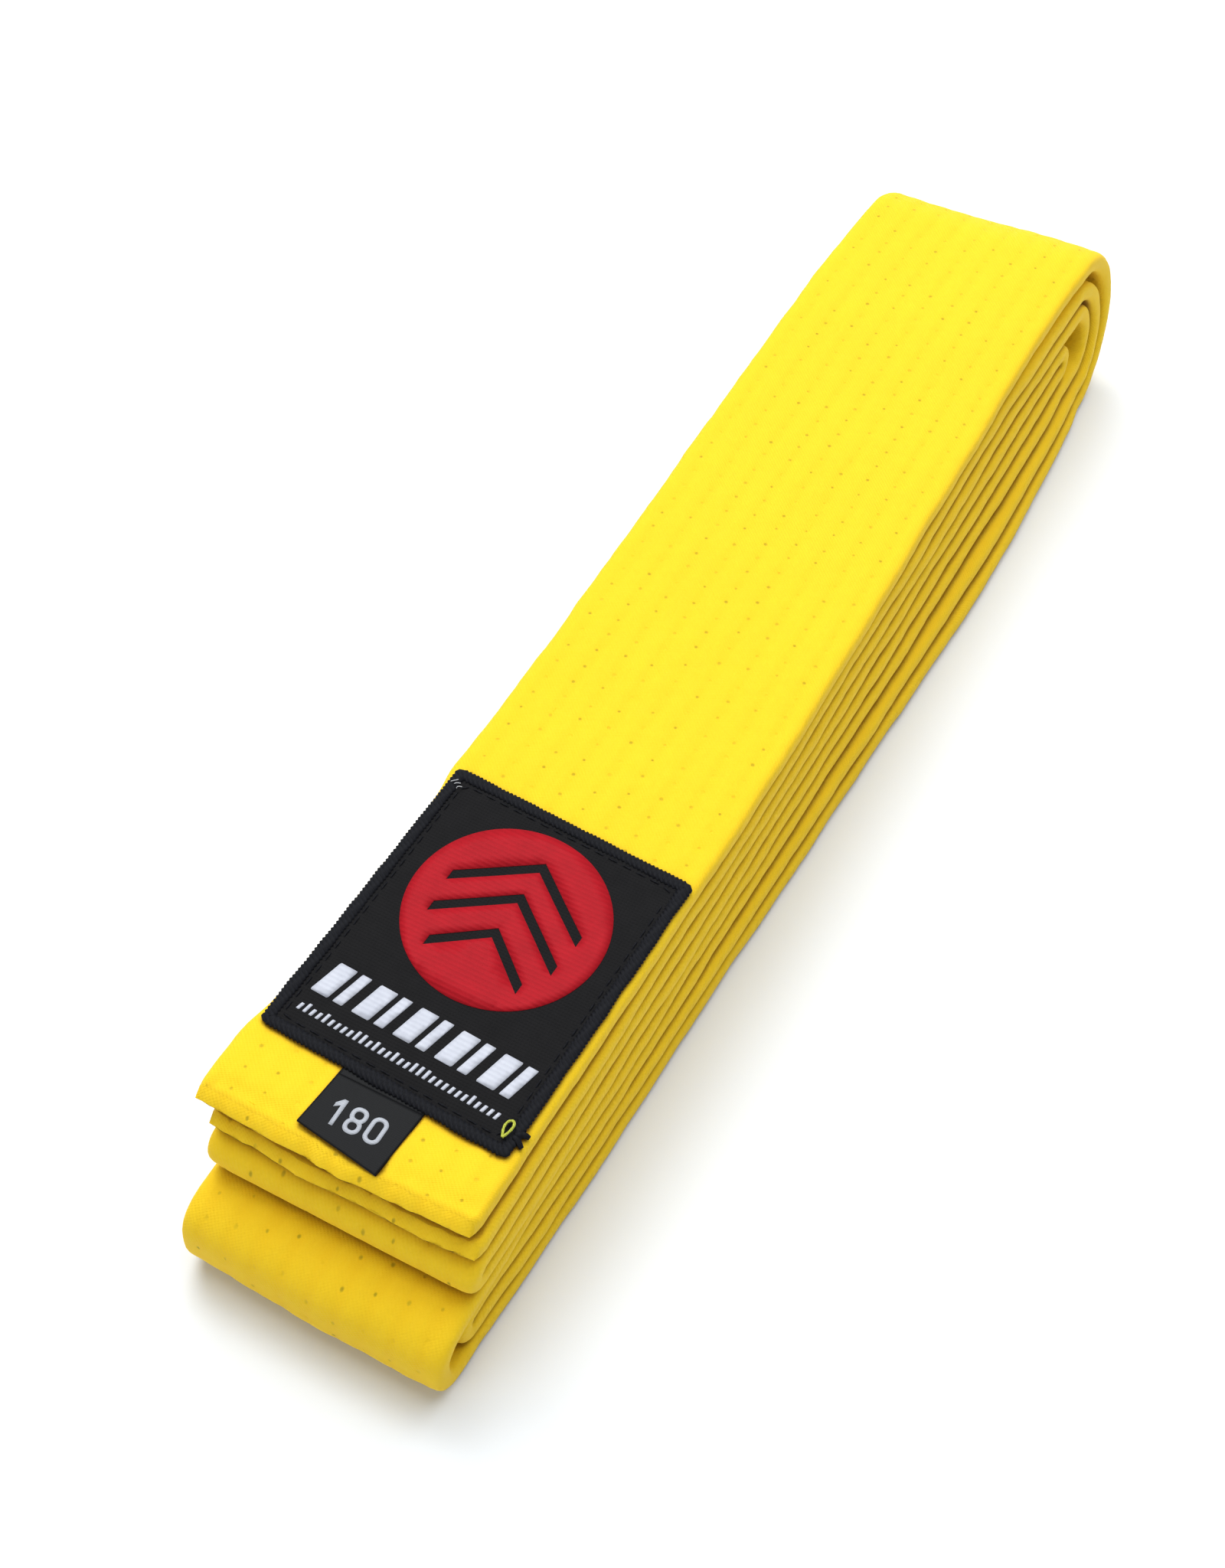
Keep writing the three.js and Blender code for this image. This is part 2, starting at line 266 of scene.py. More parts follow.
class Nodes:
    """A short way to write a node tree."""

    def __init__(self, name, roughness, specular, sheen=0.0):
        self.material = bpy.data.materials.new(name)
        self.material.use_nodes = True
        self.tree = self.material.node_tree
        self.shader = self.tree.nodes["Principled BSDF"]
        self.shader.inputs["Roughness"].default_value = roughness
        self.shader.inputs["Specular IOR Level"].default_value = specular
        self.shader.inputs["Sheen Weight"].default_value = sheen
        self.shader.inputs["Sheen Roughness"].default_value = 0.5

    def node(self, kind, **values):
        n = self.tree.nodes.new(kind)
        for key, value in values.items():
            setattr(n, key, value)
        return n

    def link(self, value, socket):
        """Set the socket to a number or a tuple, or link another node's output to it."""
        if isinstance(value, (int, float, tuple)):
            socket.default_value = value
        else:
            self.tree.links.new(value, socket)

    def math(self, operation, *values):
        n = self.node("ShaderNodeMath", operation=operation)
        for value, socket in zip(values, n.inputs, strict=False):
            self.link(value, socket)
        return n.outputs[0]

    def plus(self, a, b):
        return self.math("ADD", a, b)

    def minus(self, a, b):
        return self.math("SUBTRACT", a, b)

    def times(self, a, b):
        return self.math("MULTIPLY", a, b)

    def band(self, value, lo, hi):
        """1 below lo, 0 above hi, smooth between."""
        n = self.node("ShaderNodeMapRange", interpolation_type="SMOOTHSTEP")
        for value_, socket in zip((value, lo, hi, 1.0, 0.0), n.inputs, strict=False):
            self.link(value_, socket)
        return n.outputs[0]

    def scaled(self, vector, scale):
        n = self.node("ShaderNodeVectorMath", operation="MULTIPLY")
        self.link(vector, n.inputs[0])
        n.inputs[1].default_value = scale
        return n.outputs[0]

    def noise(self, vector, scale, detail=3.0, rough=0.55):
        n = self.node("ShaderNodeTexNoise")
        self.link(vector, n.inputs["Vector"])
        n.inputs["Scale"].default_value = scale
        n.inputs["Detail"].default_value = detail
        n.inputs["Roughness"].default_value = rough
        return n.outputs["Fac"]

    def mix(self, factor, a, b):
        """Colour a, or b where factor is 1. A Mix node has its colours at inputs 6 and 7, output 2."""
        n = self.node("ShaderNodeMix", data_type="RGBA")
        self.link(factor, n.inputs[0])
        self.link(a, n.inputs[6])
        self.link(b, n.inputs[7])
        return n.outputs[2]

    def split(self, vector):
        n = self.node("ShaderNodeSeparateXYZ")
        self.link(vector, n.inputs[0])
        return n.outputs

    def bump(self, height, distance, strength):
        n = self.node("ShaderNodeBump")
        n.inputs["Strength"].default_value = strength
        n.inputs["Distance"].default_value = distance
        self.link(height, n.inputs["Height"])
        self.link(n.outputs[0], self.shader.inputs["Normal"])

    def object_coordinates(self):
        """Place in the object, in metres."""
        return self.node("ShaderNodeTexCoord").outputs["Object"]

    def strip_coordinates(self):
        """Place on the strip, in millimetres."""
        return self.node("ShaderNodeUVMap", uv_map="strip").outputs[0]


def twill(n, u, v, pitch):
    """Height of a fine diagonal weave, 0 to 1, from coordinates in millimetres."""
    step = 2 * math.pi / pitch
    diagonal = n.math("SINE", n.times(n.plus(u, v), step))
    steep = n.minus(u, n.times(v, 1.9))
    cross = n.math("SINE", n.times(steep, step))
    both = n.plus(n.times(diagonal, 0.3), n.times(cross, 0.2))
    return n.plus(both, 0.5)


def belt_material():
    """Yellow cotton drill: u is millimetres across from the middle, v along the strip."""
    n = Nodes("belt_cotton", roughness=0.75, sheen=0.02, specular=0.32)
    at = n.strip_coordinates()
    u, v, _ = n.split(at)

    # Which needle row and which stitch a point is next to. Each row starts its stitches elsewhere.
    row = n.plus(n.math("DIVIDE", u, ROW_SPACING), 0.5)
    index = n.math("FLOOR", row)
    last_row = (ROWS - 1) / 2
    in_rows = n.band(n.math("ABSOLUTE", index), last_row + 0.3, last_row + 0.6)
    off_row = n.times(n.minus(n.math("FRACT", row), 0.5), ROW_SPACING)
    scatter = n.times(n.math("SINE", n.times(index, 12.9)), 43.7)
    shift = n.times(n.math("FRACT", scatter), STITCH)
    along = n.math("DIVIDE", n.plus(v, shift), STITCH)
    cell = n.node("ShaderNodeCombineXYZ")
    n.link(index, cell.inputs[0])
    n.link(n.math("FLOOR", along), cell.inputs[1])
    random = n.node("ShaderNodeTexWhiteNoise", noise_dimensions="2D")
    n.link(cell.outputs[0], random.inputs["Vector"])
    jitter = n.split(random.outputs["Color"])

    # The needle holes, the pucker round each, and the sunken line between them.
    off_stitch = n.times(n.minus(n.math("FRACT", along), 0.5), STITCH)
    dx = n.plus(off_row, n.times(n.minus(jitter[0], 0.5), 0.45))
    dy = n.plus(off_stitch, n.times(n.minus(jitter[1], 0.5), 0.7))
    reach = n.math("SQRT", n.plus(n.math("POWER", dx, 2.0), n.math("POWER", dy, 2.0)))
    size = n.plus(0.28, n.times(jitter[2], 0.16))
    hole = n.times(n.band(reach, n.times(size, 0.25), size), in_rows)
    pucker = n.times(n.band(reach, 0.15, 1.5), in_rows)
    # How dark the painted shade in each needle hole is, at random.
    hole_shade_depth = n.minus(1.0, n.band(jitter[0], 0.0, 0.95))
    sewn = n.times(n.band(n.math("ABSOLUTE", off_row), 0.2, 1.5), in_rows)

    # The yellow: broad patches, streaks along the strip, slubs, specks, and darker rows.
    blotch = n.noise(n.scaled(at, (0.05, 0.05, 0.05)), 1.0, 4.0)
    lengthwise = n.noise(n.scaled(at, (0.9, 0.09, 1.0)), 1.0, 3.0)
    slub = n.noise(n.scaled(at, (3.0, 0.5, 1.0)), 1.0, 2.0)
    speck = n.noise(n.scaled(at, (2.6, 2.6, 1.0)), 1.0, 3.0, 0.7)
    yellow = n.mix(blotch, srgb(248, 203, 6), srgb(251, 210, 12))
    for pattern, share, tint in (
        (lengthwise, 0.34, (240, 188, 2)),
        (slub, 0.22, (255, 224, 60)),
        (speck, 0.10, (226, 174, 2)),
        (sewn, 0.25, (244, 194, 2)),
    ):
        yellow = n.mix(n.times(pattern, share), yellow, srgb(*tint))
    # Painted shade: each needle hole is darkened towards olive, as the shade inside it.
    hole_shade = n.times(n.times(hole, hole_shade_depth), 0.55)
    shaded = n.mix(hole_shade, yellow, srgb(126, 112, 4))
    # Painted shade: narrow grooves between layers, found by the AO node, are painted darker and more
    # orange than the open cloth.
    open_ = n.node("ShaderNodeAmbientOcclusion", samples=8)
    open_.inputs["Distance"].default_value = 1.6 * MM
    groove_shade = n.band(open_.outputs["AO"], 0.35, 0.95)
    shaded = n.mix(n.times(groove_shade, 0.85), shaded, srgb(150, 92, 0))
    n.link(shaded, n.shader.inputs["Base Color"])

    weave = twill(n, u, v, 0.62)
    fuzz = n.noise(n.scaled(at, (7.0, 7.0, 1.0)), 1.0, 4.0, 0.7)
    height = n.times(weave, 0.07)
    for operation, pattern, share in (
        ("ADD", fuzz, 0.10),
        ("ADD", slub, 0.05),
        ("SUBTRACT", hole, 0.12),
        ("SUBTRACT", pucker, 0.05),
    ):
        height = n.math(operation, height, n.times(pattern, share))
    n.bump(height, MM, 0.75)
    return n.material


def woven_material(name, colour, other, roughness, pitch, specular, depth=0.05, stretch=(1, 1)):
    """A ribbed weave in X and Y, for the label and the tag. pitch and depth are in millimetres."""
    n = Nodes(name, roughness=roughness, specular=specular)
    at = n.scaled(n.object_coordinates(), (1 / MM, 1 / MM, 1 / MM))
    x, y, _ = n.split(at)
    rib = n.math("SINE", n.times(y, 2 * math.pi / pitch * stretch[1]))
    cross = n.math("SINE", n.times(x, 2 * math.pi / pitch * stretch[0]))
    checks = n.times(n.times(rib, cross), 0.2)
    weave = n.plus(n.plus(n.times(rib, 0.3), checks), 0.5)
    cloud = n.noise(at, 0.35, 3.0)
    fleck = n.noise(at, 4.0, 3.0, 0.7)
    tone = n.mix(n.times(cloud, 0.6), colour, other)
    tone = n.mix(n.times(n.times(weave, fleck), 0.7), tone, other)
    n.link(tone, n.shader.inputs["Base Color"])
    height = n.plus(weave, n.times(fleck, 0.5))
    n.bump(height, depth * MM, 0.8)
    return n.material


def thread_material(name, colour, dark, roughness, twist, specular):
    """Spun thread: fine slanting strands, one every twist millimetres, and a little variation."""
    n = Nodes(name, roughness=roughness, specular=specular)
    at = n.scaled(n.object_coordinates(), (1 / MM, 1 / MM, 1 / MM))
    x, y, z = n.split(at)
    slant = n.plus(n.plus(x, y), n.times(z, 0.8))
    strand = n.math("SINE", n.times(slant, 2 * math.pi / twist))
    shade = n.plus(n.times(strand, 0.5), 0.5)
    fleck = n.noise(at, 3.0, 3.0, 0.7)
    tone = n.mix(n.times(shade, 0.5), colour, dark)
    tone = n.mix(n.times(fleck, 0.4), tone, dark)
    n.link(tone, n.shader.inputs["Base Color"])
    n.bump(n.plus(shade, n.times(fleck, 0.4)), 0.06 * MM, 0.8)
    return n.material


BELT = belt_material()
GROUND = woven_material(
    "label_damask", srgb(28, 27, 28), srgb(8, 8, 9), roughness=0.8, pitch=0.5, specular=0.12, depth=0.09
)
RED = woven_material(
    "motif_thread", srgb(184, 20, 34), srgb(132, 9, 20), 0.6, 0.36, specular=0.12, stretch=(2.6, 0.5)
)
WHITE = woven_material(
    "mark_thread", srgb(212, 214, 222), srgb(158, 161, 176), 0.6, 0.36, specular=0.2, stretch=(2.2, 0.5)
)
SATIN = woven_material(
    "tag_satin", srgb(15, 16, 18), srgb(6, 6, 8), 0.6, 0.30, specular=0.16, depth=0.02
)
PRINT = woven_material(
    "tag_print", srgb(190, 193, 200), srgb(140, 143, 150), 0.6, 0.30, specular=0.2, depth=0.02
)
BINDING = thread_material("label_overlock", srgb(20, 21, 27), srgb(5, 5, 8), 0.7, 0.8, specular=0.15)
LOOSE = thread_material("loose_thread", srgb(200, 205, 80), srgb(140, 146, 34), 0.6, 0.35, specular=0.3)
SEWING = thread_material("sewing_thread", srgb(250, 208, 12), srgb(240, 192, 6), 0.7, 0.5, specular=0.3)
LINT = thread_material("lint", srgb(210, 210, 210), srgb(160, 160, 166), 0.7, 0.3, specular=0.2)


def paint(obj, material):
    obj.data.materials.clear()
    obj.data.materials.append(material)


def finish(obj, material, node, body=UPPER):
    """Paint a piece, put it on the body it rides on, and hide the CAD node it stands for, if any."""
    paint(obj, material)
    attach(obj, body)
    if node:
        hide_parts(node)


# ---- The belt: one continuous strip, cut into pieces where the folds of the pack begin ----

# How far each layer has slipped towards +X, in millimetres, at these shares of the pack's length.
SLIP_AT = (0.0, 0.32, 0.56, 0.83, 1.0)
SLIP = {
    1: (-0.8, 0.4, 0.4, -0.5, 0.3),
    8: (0.3, 0.6, 0.5, 0.0, 0.5),
    5: (0.5, 0.8, 0.9, 0.6, 0.9),
    4: (0.5, 1.1, 1.2, 1.2, 1.3),
    3: (0.35, 1.3, 1.8, 2.0, 1.9),
    6: (0.0, 1.7, 2.5, 3.2, 2.7),
    7: (0.0, 2.6, 4.1, 5.2, 4.0),
    2: (0.35, 3.0, 5.0, 6.6, 4.6),
}
SLIP_CURVE = {k: np.polyfit(SLIP_AT, v, 4) for k, v in SLIP.items()}


def slip(panel, y):
    """How far a layer lies towards +X at y."""
    share = (y - NEAR_Y) / (FAR_Y - NEAR_Y)
    return np.polyval(SLIP_CURVE[panel], share) + 0.16 * wander(40 + panel, y, 60)


def sway(panel, y):
    """How far a panel lies above or below its place: slack cloth, but true where it meets a bend."""
    ends = smooth((FAR_Y - y) / 22) * smooth((y - NEAR_Y - 2) / 18)
    return ends * (0.14 * wander(60, y, 90) + 0.02 * wander(60 + panel, y, 70))


class Strip:
    """The centre line as stations, and where the pieces are cut.

    A station is (x, y, z, tangent y, tangent z, quilting, bulge, lift, turn): quilting is how far the
    stitching shows, bulge moves a bend lengthwise, lift raises the top layer, and turn is the share of
    the last fold's turn there.
    of the last fold's turn that a blended piece takes there.
    """

    def __init__(self):
        self.stations, self.cuts = [], []

    def panel(self, k, y0, y1, turn=0.0, step=1.3):
        """From y0 to y1, leaving out the station that the stretch before it ends on."""
        n = max(2, round(abs(y1 - y0) / step))
        ys = np.linspace(y0, y1, n + 1)
        if self.stations:
            ys = ys[1:]
        d = np.sign(y1 - y0)
        for y in ys:
            z = Z[k] + sway(k, y)
            rise = (sway(k, y + 0.5) - sway(k, y - 0.5)) * d
            lift = LIFT * float(smooth((y - LIFT_FROM) / LIFT_RUN)) if k == 1 else 0.0
            self.stations.append((slip(k, y), y, z, d, rise, 1.0, 0.0, lift, turn))

    def bend(self, a, b, y, side, reach, bulge=0.0, lift=0.0, polar=True, step=0.8, full=2.0):
        """Half a turn from layer a to layer b at y, standing out by reach. full above 2 squares it.

        polar makes turn grow evenly round the bend, otherwise it changes over at the tip.
        """
        za, zb = Z[a], Z[b]
        zc, r = (za + zb) / 2, abs(zb - za) / 2
        n = max(10, round(math.pi * (r + THICK / 2) / step))
        start = -1 if za < zb else 1
        xa, xb = slip(a, y), slip(b, y)
        flat = float(np.clip((min(r, reach) - THICK / 2) / 4, 0.15, 1))
        for i in range(1, n + 1):
            t = i / n
            angle = math.pi * t
            sine, cosine = max(math.sin(angle), 0.0), math.cos(angle)
            power = 2 / full
            out = reach * sine**power
            along = start * r * math.copysign(abs(cosine) ** power, cosine)
            if i == n:
                ty, tz = -side, 0.0
            elif abs(cosine) < 1e-6:
                ty, tz = 0.0, -start
            else:
                ty = side * reach * sine ** (power - 1) * cosine
                tz = -start * r * abs(cosine) ** (power - 1) * sine
            x = xa + (xb - xa) * float(smooth(t))
            mix = 1 - (1 - flat) * math.sin(angle)
            way = lift * (1 + math.cos(angle)) / 2
            turn = math.atan2(out, -along) / math.pi if polar else float((t > 0.5) == (za < zb))
            swell = bulge * math.sin(angle) ** 0.8
            self.stations.append((x, y + side * out, zc + along, ty, tz, mix, swell, way, turn))

    def cut(self, name, body):
        """End a piece here. One without a body rides on no body."""
        start = self.cuts[-1][2] if self.cuts else 0
        self.cuts.append((name, start, len(self.stations) - 1, body))


LIFT = 1.5  # the top layer rises a little before it goes over the far end
LIFT_FROM, LIFT_RUN = 52, 49  # where in Y it starts, and over what length
TUCK = 6.0  # the innermost fold lies this far inside the others
TAIL = 2.4  # straight cloth on both sides of it that belongs to the same piece


def lay_strip():
    """The whole strip from the labelled end to the other: layers 1 to 8 and the seven bends."""
    s = Strip()
    p = PITCH
    s.panel(1, END_Y[1], FAR_Y)
    s.cut("belt_free_end_top", UPPER)
    s.bend(1, 2, FAR_Y, 1, 3.5 * p, bulge=1.3, lift=LIFT)
    s.cut("belt_bend_1_2", None)
    s.panel(2, FAR_Y, NEAR_Y)
    s.bend(2, 3, NEAR_Y, -1, 1.5 * p + 1.7, bulge=-0.9, full=2.9)
    s.panel(3, NEAR_Y, FAR_Y - TUCK - TAIL)
    s.cut("belt_layers_2_3", LOWER)
    s.panel(3, FAR_Y - TUCK - TAIL, FAR_Y - TUCK, 0.0, 0.8)
    s.bend(3, 4, FAR_Y - TUCK, 1, 0.5 * p + 0.1, polar=False)
    s.panel(4, FAR_Y - TUCK, FAR_Y - TUCK - TAIL, 1.0, 0.8)
    s.cut("belt_bend_3_4", None)
    s.panel(4, FAR_Y - TUCK - TAIL, UPPER_NEAR_Y)
    s.bend(4, 5, UPPER_NEAR_Y, -1, 0.5 * p + 0.3)
    s.panel(5, UPPER_NEAR_Y, FAR_Y)
    s.cut("belt_layers_4_5", UPPER)
    s.bend(5, 6, FAR_Y, 1, 1.5 * p - 0.6, bulge=0.5)
    s.cut("belt_bend_5_6", None)
    s.panel(6, FAR_Y, NEAR_Y)
    s.bend(6, 7, NEAR_Y, -1, 0.5 * p - 0.1)
    s.panel(7, NEAR_Y, FAR_Y)
    s.cut("belt_layers_6_7", LOWER)
    s.bend(7, 8, FAR_Y, 1, 2.5 * p - 0.5, bulge=1.0)
    s.cut("belt_bend_7_8", None)
    s.panel(8, FAR_Y, END_Y[8])
    s.cut("belt_free_end_under", UPPER)
    return s


def thinning(u):
    """The cloth's thickness at u across the strip: a little less along its edges."""
    return 1 - 0.07 * smooth((np.abs(u) - WIDTH / 2 + 4.2) / 3.4)


EDGE = 0.72  # below 1: the long edges are fuller than a half circle


def ring_outline(flat_points=66, edge_points=10):
    """The section's outline: place across, and height from -1 to 1. +1 is up on panel 1."""
    inner = WIDTH / 2 - THICK / 2
    flat = np.linspace(-inner, inner, flat_points)
    top = np.ones(flat_points)
    angle = math.pi / 2 - math.pi * np.arange(1, edge_points + 1) / (edge_points + 1)
    edge = inner + THICK / 2 * np.cos(angle) ** EDGE
    side = np.copysign(np.abs(np.sin(angle)) ** EDGE, np.sin(angle))
    return np.r_[flat, edge, flat[::-1], -edge], np.r_[top, side, -top, -side]


def build_belt():
    """The belt's pieces by name, each with its length, and the length of the whole strip."""
    strip = lay_strip()
    st = np.array(strip.stations)
    centre, tangent, flat = st[:, :3], np.c_[np.zeros(len(st)), st[:, 3:5]], st[:, 5]
    bulge, lift, turn = st[:, 6:7], st[:, 7:8], st[:, 8]
    tangent /= np.linalg.norm(tangent, axis=1)[:, None]
    step = np.linalg.norm(np.diff(centre[:, 1:], axis=0), axis=1)
    s = np.r_[0, np.cumsum(step)]
    total = s[-1]
    normal = np.cross([1.0, 0, 0], tangent)
    across, up = ring_outline()
    S, U = np.meshgrid(s, across, indexing="ij")
    UP = np.broadcast_to(up, S.shape)
    face = np.abs(UP) > 0.999

    # Quilting: the cloth stands proud between the rows of stitches.
    rows = (ROWS - 1) / 2 * ROW_SPACING
    inside = smooth((rows + 1.6 - np.abs(U)) / 1.2)
    puff = np.abs(np.sin(np.pi * U / ROW_SPACING)) ** 0.7 - 1
    relief = 0.09 * puff * inside - 0.05 * smooth((rows + 2.2 - np.abs(U)) / 2)
    relief += 0.07 * wander2(5, U * 2.2, S, 34) * np.where(UP > 0, 1, -1)
    relief += 0.05 * wander2(6, U, S, 9) * np.where(UP > 0, 1, -1)
    relief *= flat[:, None]

    half = THICK / 2 * (1 + 0.015 * wander2(9, U, S, 60, 2))
    crown = 0.10 * (1 - (U / (WIDTH / 2)) ** 2) * 0.6
    rise = UP * (half + np.where(face, relief + crown, 0)) * thinning(U)

    # The rolled long edges wander a little.
    side = np.sign(U)
    out = np.abs(U) > WIDTH / 2 - THICK / 2 - 0.05
    wobble = np.where(side > 0, wander(21, S, 46, 4), wander(22, S, 46, 4)) * 0.12
    wobble += np.where(side > 0, wander(23, S, 7, 3), wander(24, S, 7, 3)) * 0.035
    reach = smooth((np.abs(U) - WIDTH / 2 + 5) / 5)
    X = U + side * wobble * reach
    rise = rise + UP * 0.04 * np.where(out, wander2(12, side * 40, S, 5), 0)

    # The turned-in free ends: a blunt lip, a valley where it is sewn shut, soft puckers behind it.
    shift = np.zeros_like(S)
    for end, seed in ((0.0, 31), (total, 32)):
        d = np.abs(S - end)
        lip = np.sqrt(np.clip(1 - ((1.5 - d).clip(0) / 1.5) ** 2, 0.0, 1))
        valley = np.exp(-(((d - 2.7) / 0.9) ** 2)) * (0.20 + 0.16 * smooth((4 - U) / 20))
        ridge = np.exp(-(((d - 0.9) / 0.7) ** 2)) * (0.05 + 0.10 * wander(seed + 9, U, 7))
        swell = 0.09 * np.exp(-(((d - 6.0) / 2.6) ** 2))
        pucker = 0.07 * wander(seed + 5, U + 0.2 * d, 8, 2) * smooth((13 - d) / 8) * smooth((U + 8) / 14)
        rise = rise * (0.04 + 0.96 * lip) * (1 - valley * face + ridge + swell + pucker * face)
        wave = 0.35 * wander(seed, U, 30, 3) + 0.12 * wander(seed + 3, U, 5, 2) - 0.0012 * U**2
        shift += np.sign(total / 2 - end) * smooth((12 - d) / 11) * -wave
        corner = smooth((2.6 - d) / 2.6)
        if end == 0:
            # The corner flares to the left, and the label's seam pulls that edge in.
            pulled = 0.8 * smooth((d - 16) / 8) * smooth((63 - d) / 7)
            X = X + smooth((-U - 6) / 14) * (pulled - 1.0 * smooth((18 - d) / 8))
        X = X * (1 - 0.02 * corner * smooth((np.abs(U) - 16) / 4))

    at = (
        centre[:, None, :]
        + X[..., None] * np.array([1.0, 0, 0])
        + rise[..., None] * normal[:, None, :]
        + shift[..., None] * tangent[:, None, :]
    )
    # Bends stand out further towards the right, and so does the rise of the top layer.
    right = smooth((U + 21) / 26)
    at[..., 1] += bulge * (0.08 + 0.92 * right)
    at[..., 2] += lift * smooth((U + 8) / 26)
    # The strip lies on the floor and never goes below it.
    at[..., 2] = np.maximum(at[..., 2], 0.03)

    # One normal per point over the whole strip, so that shading runs on across the cuts.
    round_ = np.roll(at, -1, 1) - np.roll(at, 1, 1)
    onward = np.gradient(at, axis=0)
    nrm = np.cross(round_, onward)
    nrm /= np.linalg.norm(nrm, axis=2)[..., None] + 1e-12
    if (nrm[len(s) // 20, 20] @ normal[len(s) // 20]) < 0:
        nrm = -nrm
    uv = np.stack([X, S + shift], -1)

    pieces = {}
    m = len(across)
    for name, i0, i1, body in strip.cuts:
        rings = i1 - i0 + 1
        here = slice(i0, i1 + 1)
        v = at[here].reshape(-1, 3)
        faces = grid_faces(rings, m, closed=True)
        faces.append(tuple(range(m))[::-1])
        faces.append(tuple(range((rings - 1) * m, rings * m)))
        # A face in the middle of the flat side tells which way round the faces have to go.
        a, b, c = (v[faces[m * 5 + 20][q]] for q in (0, 1, 2))
        if np.cross(b - a, c - a) @ nrm[i0 + 5, 20] < 0:
            faces = [f[::-1] for f in faces]
        obj = new_object(name, v, faces, uv[here].reshape(-1, 2), nrm[here].reshape(-1, 3))
        paint(obj, BELT)
        length = float(s[i1] - s[i0])
        if body:
            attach(obj, body)
        else:
            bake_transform(obj)
            share = turn[here].copy()
            share[0], share[-1] = (0, 1) if share[1] < share[-2] else (1, 0)
        pieces[name] = (obj, length)
    return pieces, total


belt, belt_length = build_belt()

BOTH = ("cover", "core")
COVERS = {
    "belt_free_end_top": ["cover_panel_1", "core_panel_1", "end_hem_1"],
    "belt_bend_1_2": ["cover_bend_12", "core_bend_12"],
    "belt_layers_2_3": [f"{t}_{k}" for t in BOTH for k in ("panel_2", "panel_3", "bend_23")],
    "belt_bend_3_4": ["cover_bend_34", "core_bend_34"],
    "belt_layers_4_5": [f"{t}_{k}" for t in BOTH for k in ("panel_4", "panel_5", "bend_45")],
    "belt_bend_5_6": ["cover_bend_56", "core_bend_56"],
    "belt_layers_6_7": [f"{t}_{k}" for t in BOTH for k in ("panel_6", "panel_7", "bend_67")],
    "belt_bend_7_8": ["cover_bend_78", "core_bend_78"],
    "belt_free_end_under": ["cover_panel_8", "core_panel_8", "end_hem_8"],
}
for name, nodes in COVERS.items():
    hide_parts(*nodes)


# ---- Top face height, for what lies on it ----


def belt_top(y):
    """Height of the top layer's upper face, near enough for the label and tag to lie on."""
    return Z[1] + THICK / 2 + float(sway(1, y)) + 0.04


# ---- Stitching ----


def stitches(name, points, radius=0.13):
    """Short threads that dip into the cloth at both ends, in one mesh. points are (start, end)."""
    verts, faces = [], []
    sides = 6
    turn = np.linspace(0, 2 * np.pi, sides, endpoint=False)
    # Share of the stitch's length, height and thickness along it.
    shape = (
        (0.0, -0.20, 0.4),
        (0.12, -0.02, 0.9),
        (0.35, 0.05, 1),
        (0.65, 0.05, 1),
        (0.88, -0.02, 0.9),
        (1.0, -0.20, 0.4),
    )
    n = len(shape)
    for start, end in points:
        start, end = np.array(start, float), np.array(end, float)
        way = end - start
        length = np.linalg.norm(way)
        way /= length
        side = np.cross(way, [0, 0, 1.0])
        side /= np.linalg.norm(side)
        base = len(verts)
        for t, lift, fat in shape:
            c = start + way * length * t + np.array([0, 0, lift])
            for a in turn:
                spoke = side * math.cos(a) + np.array([0, 0, 1.0]) * math.sin(a)
                verts.append(c + radius * fat * spoke)
        faces += [tuple(base + q for q in f) for f in grid_faces(n, sides, closed=True)]
        faces.append(tuple(base + q for q in range(sides))[::-1])
        faces.append(tuple(base + (n - 1) * sides + q for q in range(sides)))
    return new_object(name, verts, faces)


def make_hem_seams():
    """The row of stitches across each free end, in the valley behind its lip."""
    for panel, seed in ((1, 3), (8, 4)):
        rng = np.random.default_rng(seed)
        points, x = [], -18.4
        while x < 18.2:
            length = 2.3 + rng.uniform(-0.15, 0.15)
            y = END_Y[panel] + 2.7 + 0.0012 * x * x
            z = Z[panel] + THICK / 2 * 0.60 * float(thinning(abs(x) + 1))
            points.append(((x, y, z), (x + length, y, z)))
            x += length + 0.35
        seam = stitches(f"hem_stitches_{panel}", points)
        finish(seam, SEWING, f"end_seam_{panel}")


make_hem_seams()


def make_quilting():
    """The top layer's lengthwise rows, sunk almost level with the cloth."""
    for row in range(1, ROWS + 1):
        rng = np.random.default_rng(100 + row)
        x0 = middle(f"quilting_row_{row}", 0)
        y, points = low(f"quilting_row_{row}", 1), []
        while y + 3 < high(f"quilting_row_{row}", 1):
            length = 2.5 + rng.uniform(-0.15, 0.15)
            x = x0 + slip(1, y)
            z = belt_top(y) - 0.33 - (1 - float(thinning(x0))) * THICK / 2
            points.append(((x, y, z), (x + rng.uniform(-0.06, 0.06), y + length, z)))
            y += STITCH
        line = stitches(f"quilting_stitches_{row}", points, 0.10)
        finish(line, SEWING, f"quilting_row_{row}")


make_quilting()

# ---- Label ----

LX0, LX1 = low("label_binding", 0), high("label_binding", 0)
LY0, LY1 = low("label_binding", 1), high("label_binding", 1)
LABEL_X, LABEL_Y = (LX0 + LX1) / 2, (LY0 + LY1) / 2
SKEW, LEAN = -0.0586, 0.036  # the label was sewn on slightly out of square
SHIFT_X, SHIFT_Y = -0.22, 0.18  # and a little off the CAD label's middle and size
SCALE_X, SCALE_Y = 1.02, 1.025
CLOTH_INSET = 0.9  # from the label's outer edge to the middle of the thread wound round it
SEAM_INSET = 2.25
CLOTH_RISE, CLOTH_THICK = 0.42, 0.38  # the label's upper face over the belt, and its thickness


